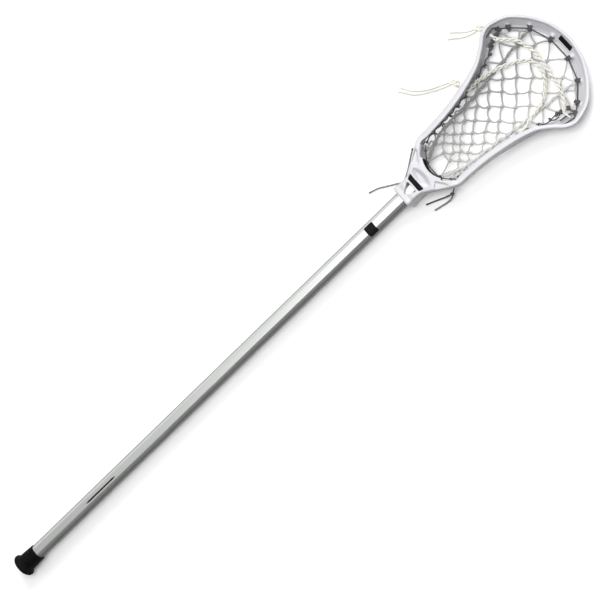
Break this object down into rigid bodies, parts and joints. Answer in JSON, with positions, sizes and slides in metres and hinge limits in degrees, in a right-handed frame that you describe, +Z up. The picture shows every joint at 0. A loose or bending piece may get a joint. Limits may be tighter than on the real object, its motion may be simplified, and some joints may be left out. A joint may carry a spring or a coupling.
{
  "type": "lacrosse stick",
  "caption": "Women's lacrosse stick with an octagonal metal shaft, a black rubber butt cap and a white moulded head strung with a diamond mesh pocket.",
  "frame": {"origin": "middle of the stick on the surface it lies on, below the shaft's axis", "axes": "+Y along the shaft from the butt to the scoop, +Z up out of the open face of the head, +X to the right"},
  "size_m": [0.215, 1.086, 0.035],
  "materials": {
    "shaft": "satin silver, octagonal",
    "butt_cap": "matte black rubber",
    "head": "moulded white nylon, semi-gloss",
    "screw": "zinc-plated steel",
    "badge": "matte black, blank",
    "foam": "closed-cell foam, black",
    "mesh": "knotted polyester net",
    "dark_string": "braided nylon, charcoal",
    "white_lace": "rolled woven lace, white",
    "cream_lace": "braided lace, off-white"
  },
  "bodies": {
    "root": {"shaft": "shaft", "butt_cap": "butt_cap", "head_frame": "head", "head_screw": "screw", "throat_badge": "badge", "ball_stop_pad": "foam", "pocket_mesh": "mesh", "top_string": "dark_string", "left_sidewall_string": "dark_string", "right_sidewall_string": "dark_string", "bottom_string": "dark_string", "left_runner_lace": "white_lace", "right_runner_lace": "white_lace", "upper_shooting_lace": "cream_lace", "lower_shooting_lace": "cream_lace", "upper_lace_knot": "cream_lace", "upper_lace_tail_a": "cream_lace", "upper_lace_tail_b": "cream_lace", "lower_lace_knot": "cream_lace", "lower_lace_tail_a": "cream_lace", "lower_lace_tail_b": "cream_lace", "left_string_knot": "dark_string", "left_string_tail": "dark_string", "right_string_knot": "dark_string", "right_string_tail_long": "dark_string", "right_string_tail_short": "dark_string"}
  },
  "joints": []
}
